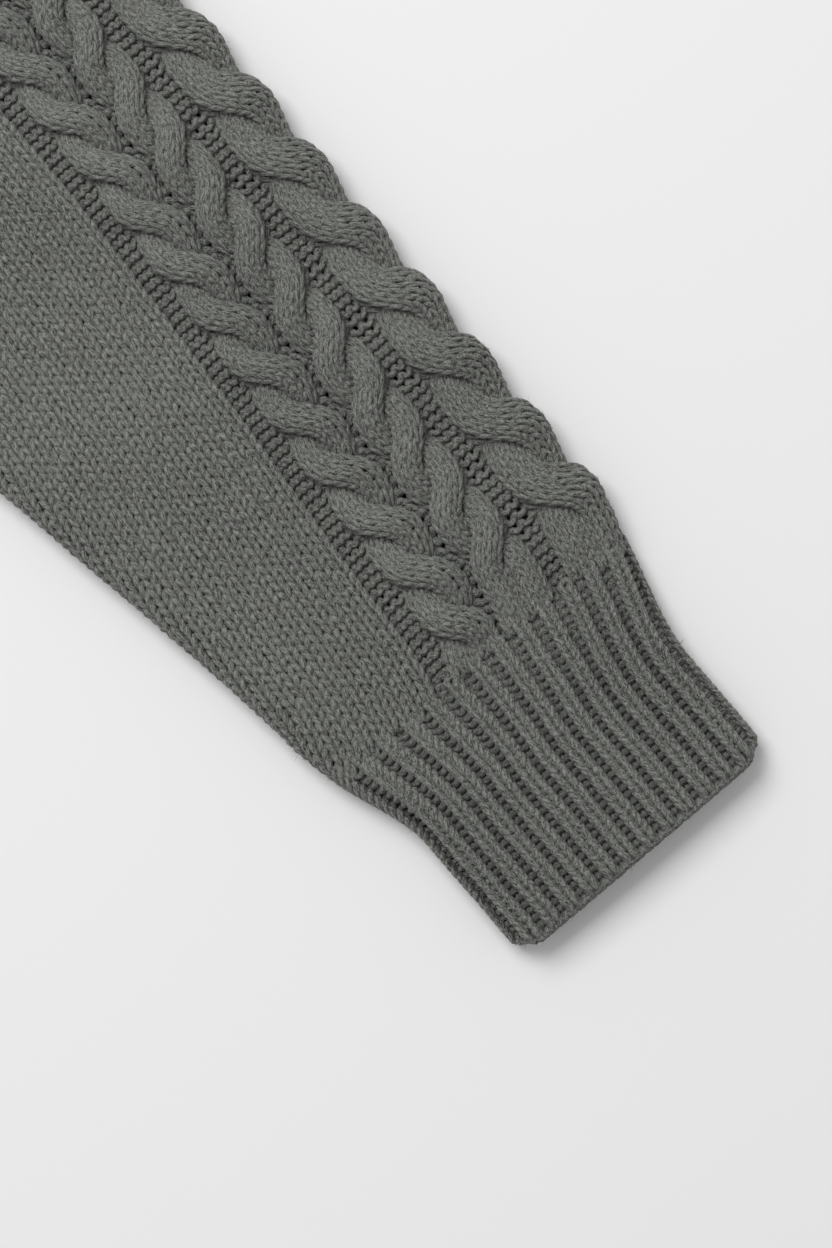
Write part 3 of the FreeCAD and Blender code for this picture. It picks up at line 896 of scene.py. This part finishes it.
def wool(name):
    """Heathered wool yarn: twisted plies, light and dark fibres, painted shade that colours the yarn
    lighter on its top and darker on its underside, and a soft sheen.
    """
    material = bpy.data.materials.new(name)
    tree = NodeTree(material)
    tree.surface(WOOL_SURFACE)
    rest = tree.nodes.new("ShaderNodeAttribute")
    rest.attribute_name = "rest"
    yarn = tree.nodes.new("ShaderNodeUVMap")
    yarn.uv_map = "Yarn"
    split = tree.nodes.new("ShaderNodeSeparateXYZ")
    tree.link(yarn.outputs["UV"], split.inputs["Vector"])
    along, turned = split.outputs["X"], split.outputs["Y"]

    fibres = tree.noise(yarn.outputs["UV"], 1.0, FIBRE_STRETCH)
    heather = tree.noise(rest.outputs["Vector"], HEATHER_SCALE)
    cloud = tree.noise(rest.outputs["Vector"], CLOUD_SCALE)
    tone = tree.math("MULTIPLY", heather, HEATHER_TONE)
    # the wave round the yarn is painted shade: it colours each yarn lighter on its top and darker on
    # its underside
    for source, share in ((fibres, FIBRE_TONE), (cloud, CLOUD_TONE), (tree.wave(turned), PAINTED_SHADE_TONE)):
        tone = tree.math("MULTIPLY_ADD", source, share, tone)
    colour = tree.ramp(tone, ((DARK_TONE, DARK_GREY), (LIGHT_TONE, LIGHT_GREY)))
    tree.link(colour, tree.shader.inputs["Base Color"])

    twist = tree.math("MULTIPLY_ADD", along, PLY_ALONG, tree.math("MULTIPLY", turned, PLY_ROUND))
    tree.bump(tree.math("MULTIPLY_ADD", tree.wave(twist), PLY_RELIEF, fibres))
    return material


def paper(name):
    material = bpy.data.materials.new(name)
    white = (FLOOR_BRIGHTNESS, FLOOR_BRIGHTNESS, FLOOR_BRIGHTNESS, 1)
    NodeTree(material).surface({"Base Color": white, "Roughness": FLOOR_ROUGHNESS})
    return material


# ---------------------------------------------------------------- the sleeve's pieces
Fold = namedtuple("Fold", "near_body far_body hinge reach")
ELBOW_FOLD = Fold("upper_sleeve", "forearm", ELBOW, 24.0)
CUFF_FOLD = Fold("forearm", "cuff", WRIST, 18.0)
FOLD_MARGIN = 4.0                # the underarm region starts this far before its fold's end
REGIONS = ["front", "underarm", "gutter_1", "cable_1", "gutter_2", "cable_2", "gutter_3", "cable_3"]
REGIONS += ["gutter_4", "cable_4", "gutter_5", "cable_5", "gutter_6", "back"]
CAD_NAME = {
    "front": "front_stockinette",
    "underarm": "underarm_stockinette",
    "back": "back_stockinette",
}
GREY_WOOL = wool("grey_wool")


def bent(piece):
    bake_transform(piece)


def add_piece(name, fabric, chosen):
    mesh = yarn_mesh(name, fabric, chosen)
    mesh.materials.append(GREY_WOOL)
    piece = bpy.data.objects.new(name, mesh)
    bpy.context.scene.collection.objects.link(piece)
    return piece


def region_mask(region, columns, up_row):
    """The stitches of a region; the front's own columns run on round the underarm fold."""
    region_of = np.array([column.region for column in columns])[None]
    side_of = np.array([column.around for column in columns])[None]
    right, left = section_at(up_row)
    fold = (2 * QUARTER + right - left - FOLD_MARGIN)[:, None]
    if region == "underarm":
        return (region_of == "front") & (side_of >= fold)
    if region == "front":
        return (region_of == "front") & (side_of < fold)
    return (region_of == region) & np.ones_like(fold, bool)


def add_sleeve():
    columns = panel_columns()
    sleeve, up_row = knitted_sleeve(columns)
    x = CUFF_END - up_row
    stretches = {
        "upper": (x < ELBOW, ELBOW_FOLD),
        "forearm": ((x >= ELBOW) & (x < MID_FOREARM), ELBOW_FOLD),
        "wrist": (x >= MID_FOREARM, CUFF_FOLD),
    }
    for stretch, (rows_in, fold) in stretches.items():
        part = "upper" if stretch == "upper" else "forearm"
        for region in REGIONS:
            chosen = sleeve.active & rows_in[:, None] & region_mask(region, columns, up_row)
            if not chosen.any():
                continue
            piece = add_piece(f"{stretch}_{CAD_NAME.get(region, region)}_knit", sleeve, chosen)
            bent(piece)
            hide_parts(f"{part}_{CAD_NAME.get(region, region)}")


def add_cuff():
    rib, around = knitted_rib()
    right, left = section_at(np.array([0.0]))
    underarm = 2 * QUARTER + right[0] - left[0] - UNDERARM_RIB
    parts = {
        "cuff_rib_back": around < 0,
        "cuff_rib_front": (around >= 0) & (around < underarm),
        "cuff_rib_underarm": around >= underarm,
    }
    for node, chosen in parts.items():
        piece = add_piece(node + "_knit", rib, rib.active & chosen[None])
        bent(piece)
        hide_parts(node)


def add_edge(name, points, link, body, nodes):
    chain = linked_chain(points, link)
    piece = add_piece(name, chain, chain.active)
    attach(piece, body)
    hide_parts(*nodes)


def add_seam(name, low, high, node):
    chain = linked_chain(seam_points(low, high), SEAM_LINK)
    piece = add_piece(name, chain, chain.active)
    bent(piece)
    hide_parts(node)


def add_edges_and_seams():
    armhole = [f"armhole_edge_{side}" for side in ("front", "back", "crown", "underarm")]
    cast_on = [f"cast_on_edge_{side}" for side in ("front", "back")]
    add_edge("armhole_chain", armhole_points(), ARMHOLE_LINK, "upper_sleeve", armhole)
    add_edge("cast_on_chain", cast_on_points(), CAST_ON_LINK, "cuff", cast_on)
    elbow_up = CUFF_END - ELBOW
    middle_up = CUFF_END - MID_FOREARM
    underarm_up = CUFF_END - UNDERARM
    add_seam("upper_seam_chain", elbow_up, underarm_up, "upper_underarm_seam")
    add_seam("forearm_seam_chain", middle_up, elbow_up, "forearm_underarm_seam")
    add_seam("wrist_seam_chain", CUFF_LENGTH, middle_up, "forearm_underarm_seam")
    add_seam("cuff_seam_chain", SEAM_FOOT, CUFF_LENGTH, "cuff_seam")


# ---------------------------------------------------------------- floor, light and camera
FLOOR_HALF = 3.0                 # metres, like every length below
VIEW_TURN = math.radians(49.7)   # the sleeve runs down to the right in the picture
VIEW_WIDTH = 0.437 * (cad_box[1].x - cad_box[0].x)
VIEW_DISTANCE = 1.3
VIEW_MIDDLE = Vector((CUFF_END - 94.6, CENTRE_FOLD - 66.7, 6.0)) / MM
FRAME_RATIO = 1248 / 832
SENSOR = 36.0                    # in the camera's own millimetres
LAMP_SIZE, LAMP_POWER = 1.3, 41
LAMP_LEFT, LAMP_UPWARD, LAMP_HIGH = 0.9, 1.1, 1.9
SKY_STRENGTH = 0.50
PICTURE_RIGHT = Vector((math.cos(VIEW_TURN), math.sin(VIEW_TURN), 0))
PICTURE_UP = Vector((-math.sin(VIEW_TURN), math.cos(VIEW_TURN), 0))
OVERHEAD = Vector((0, 0, 1))


def add_floor():
    mesh = bpy.data.meshes.new("floor")
    corners = [(-1, -1), (1, -1), (1, 1), (-1, 1)]
    mesh.from_pydata([(x * FLOOR_HALF, y * FLOOR_HALF, 0) for x, y in corners], [], [(0, 1, 2, 3)])
    mesh.materials.append(paper("paper"))
    floor = bpy.data.objects.new("floor", mesh)
    bpy.context.scene.collection.objects.link(floor)


def add_lamp():
    lamp = bpy.data.lights.new("key", "AREA")
    lamp.shape = "SQUARE"
    lamp.size = LAMP_SIZE
    lamp.energy = LAMP_POWER
    offset = PICTURE_UP * LAMP_UPWARD - PICTURE_RIGHT * LAMP_LEFT + OVERHEAD * LAMP_HIGH
    holder = bpy.data.objects.new("key", lamp)
    holder.location = VIEW_MIDDLE + offset
    holder.rotation_mode = "QUATERNION"
    holder.rotation_quaternion = offset.to_track_quat("Z", "Y")
    bpy.context.scene.collection.objects.link(holder)


def add_sky():
    world = bpy.data.worlds.new("studio")
    world.use_nodes = True
    background = world.node_tree.nodes["Background"]
    background.inputs["Color"].default_value = (1, 1, 1, 1)
    background.inputs["Strength"].default_value = SKY_STRENGTH
    bpy.context.scene.world = world


def add_camera():
    data = bpy.data.cameras.new("camera")
    data.sensor_width = SENSOR
    data.lens = SENSOR * VIEW_DISTANCE / (VIEW_WIDTH * FRAME_RATIO)
    data.clip_start = 0.01
    camera = bpy.data.objects.new("camera", data)
    bpy.context.scene.collection.objects.link(camera)
    turned = Matrix((PICTURE_RIGHT, PICTURE_UP, OVERHEAD)).transposed()
    place_over = Matrix.Translation(VIEW_MIDDLE + OVERHEAD * VIEW_DISTANCE)
    camera.matrix_world = place_over @ turned.to_4x4()
    bpy.context.scene.camera = camera


add_sleeve()
add_cuff()
add_edges_and_seams()
add_floor()
add_lamp()
add_sky()
add_camera()
bpy.context.scene.view_settings.view_transform = "Standard"
